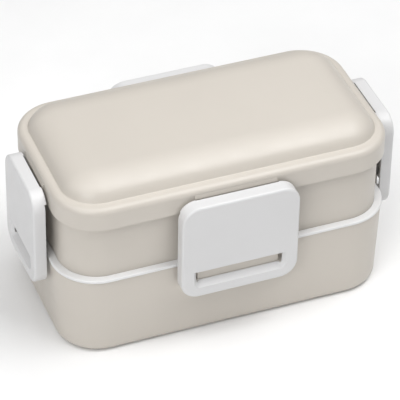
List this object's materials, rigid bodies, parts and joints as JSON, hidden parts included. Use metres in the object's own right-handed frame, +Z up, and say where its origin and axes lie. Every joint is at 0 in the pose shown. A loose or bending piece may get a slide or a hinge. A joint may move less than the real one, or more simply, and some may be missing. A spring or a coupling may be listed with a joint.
{
  "type": "two-tier lunch box",
  "caption": "Oblong two-tier lunch box with a domed lid, a white lid between the tiers and hinged latches that hold the stack together.",
  "frame": {"origin": "middle of the rest face under the lower container", "axes": "+Z up out of the lid, +X along the length, -Y towards the front latch"},
  "size_m": [0.176, 0.102, 0.092],
  "materials": {
    "beige_plastic": "satin moulded polypropylene, warm beige",
    "white_lid_plastic": "satin moulded plastic, white",
    "latch_plastic": "smooth satin moulded plastic, white",
    "silicone": "matte translucent white silicone",
    "divider_plastic": "satin moulded plastic, off-white"
  },
  "bodies": {
    "lower": {"lower_container": "beige_plastic"},
    "middle": {"middle_lid": "white_lid_plastic", "middle_lid_gasket": "silicone"},
    "upper": {"upper_container": "beige_plastic"},
    "divider": {"divider": "divider_plastic"},
    "lid": {"lid": "beige_plastic", "lid_gasket": "silicone"},
    "latch_front": {"latch_front": "latch_plastic"},
    "latch_right": {"latch_right": "latch_plastic"},
    "latch_back": {"latch_back": "latch_plastic"},
    "latch_left": {"latch_left": "latch_plastic"}
  },
  "joints": [
    {"name": "middle_lid_lift", "type": "slide", "parent": "lower", "child": "middle", "axis": [0, 0, 1], "range_m": [0, 0.05]},
    {"name": "upper_container_lift", "type": "slide", "parent": "middle", "child": "upper", "axis": [0, 0, 1], "range_m": [0, 0.04]},
    {"name": "divider_slide", "type": "slide", "parent": "upper", "child": "divider", "axis": [1, 0, 0], "range_m": [-0.07, 0.03]},
    {"name": "lid_lift", "type": "slide", "parent": "upper", "child": "lid", "axis": [0, 0, 1], "range_m": [0, 0.06]},
    {"name": "latch_front_hinge", "type": "hinge", "parent": "lid", "child": "latch_front", "pos_m": [0, -0.0474, 0.0764], "axis": [-1, 0, 0], "range_deg": [-1.6, 90]},
    {"name": "latch_right_hinge", "type": "hinge", "parent": "lid", "child": "latch_right", "pos_m": [0.0844, 0, 0.0764], "axis": [0, -1, 0], "range_deg": [-1.6, 90]},
    {"name": "latch_back_hinge", "type": "hinge", "parent": "lid", "child": "latch_back", "pos_m": [0, 0.0474, 0.0764], "axis": [1, 0, 0], "range_deg": [-1.6, 90]},
    {"name": "latch_left_hinge", "type": "hinge", "parent": "lid", "child": "latch_left", "pos_m": [-0.0844, 0, 0.0764], "axis": [0, 1, 0], "range_deg": [-1.6, 90]}
  ]
}
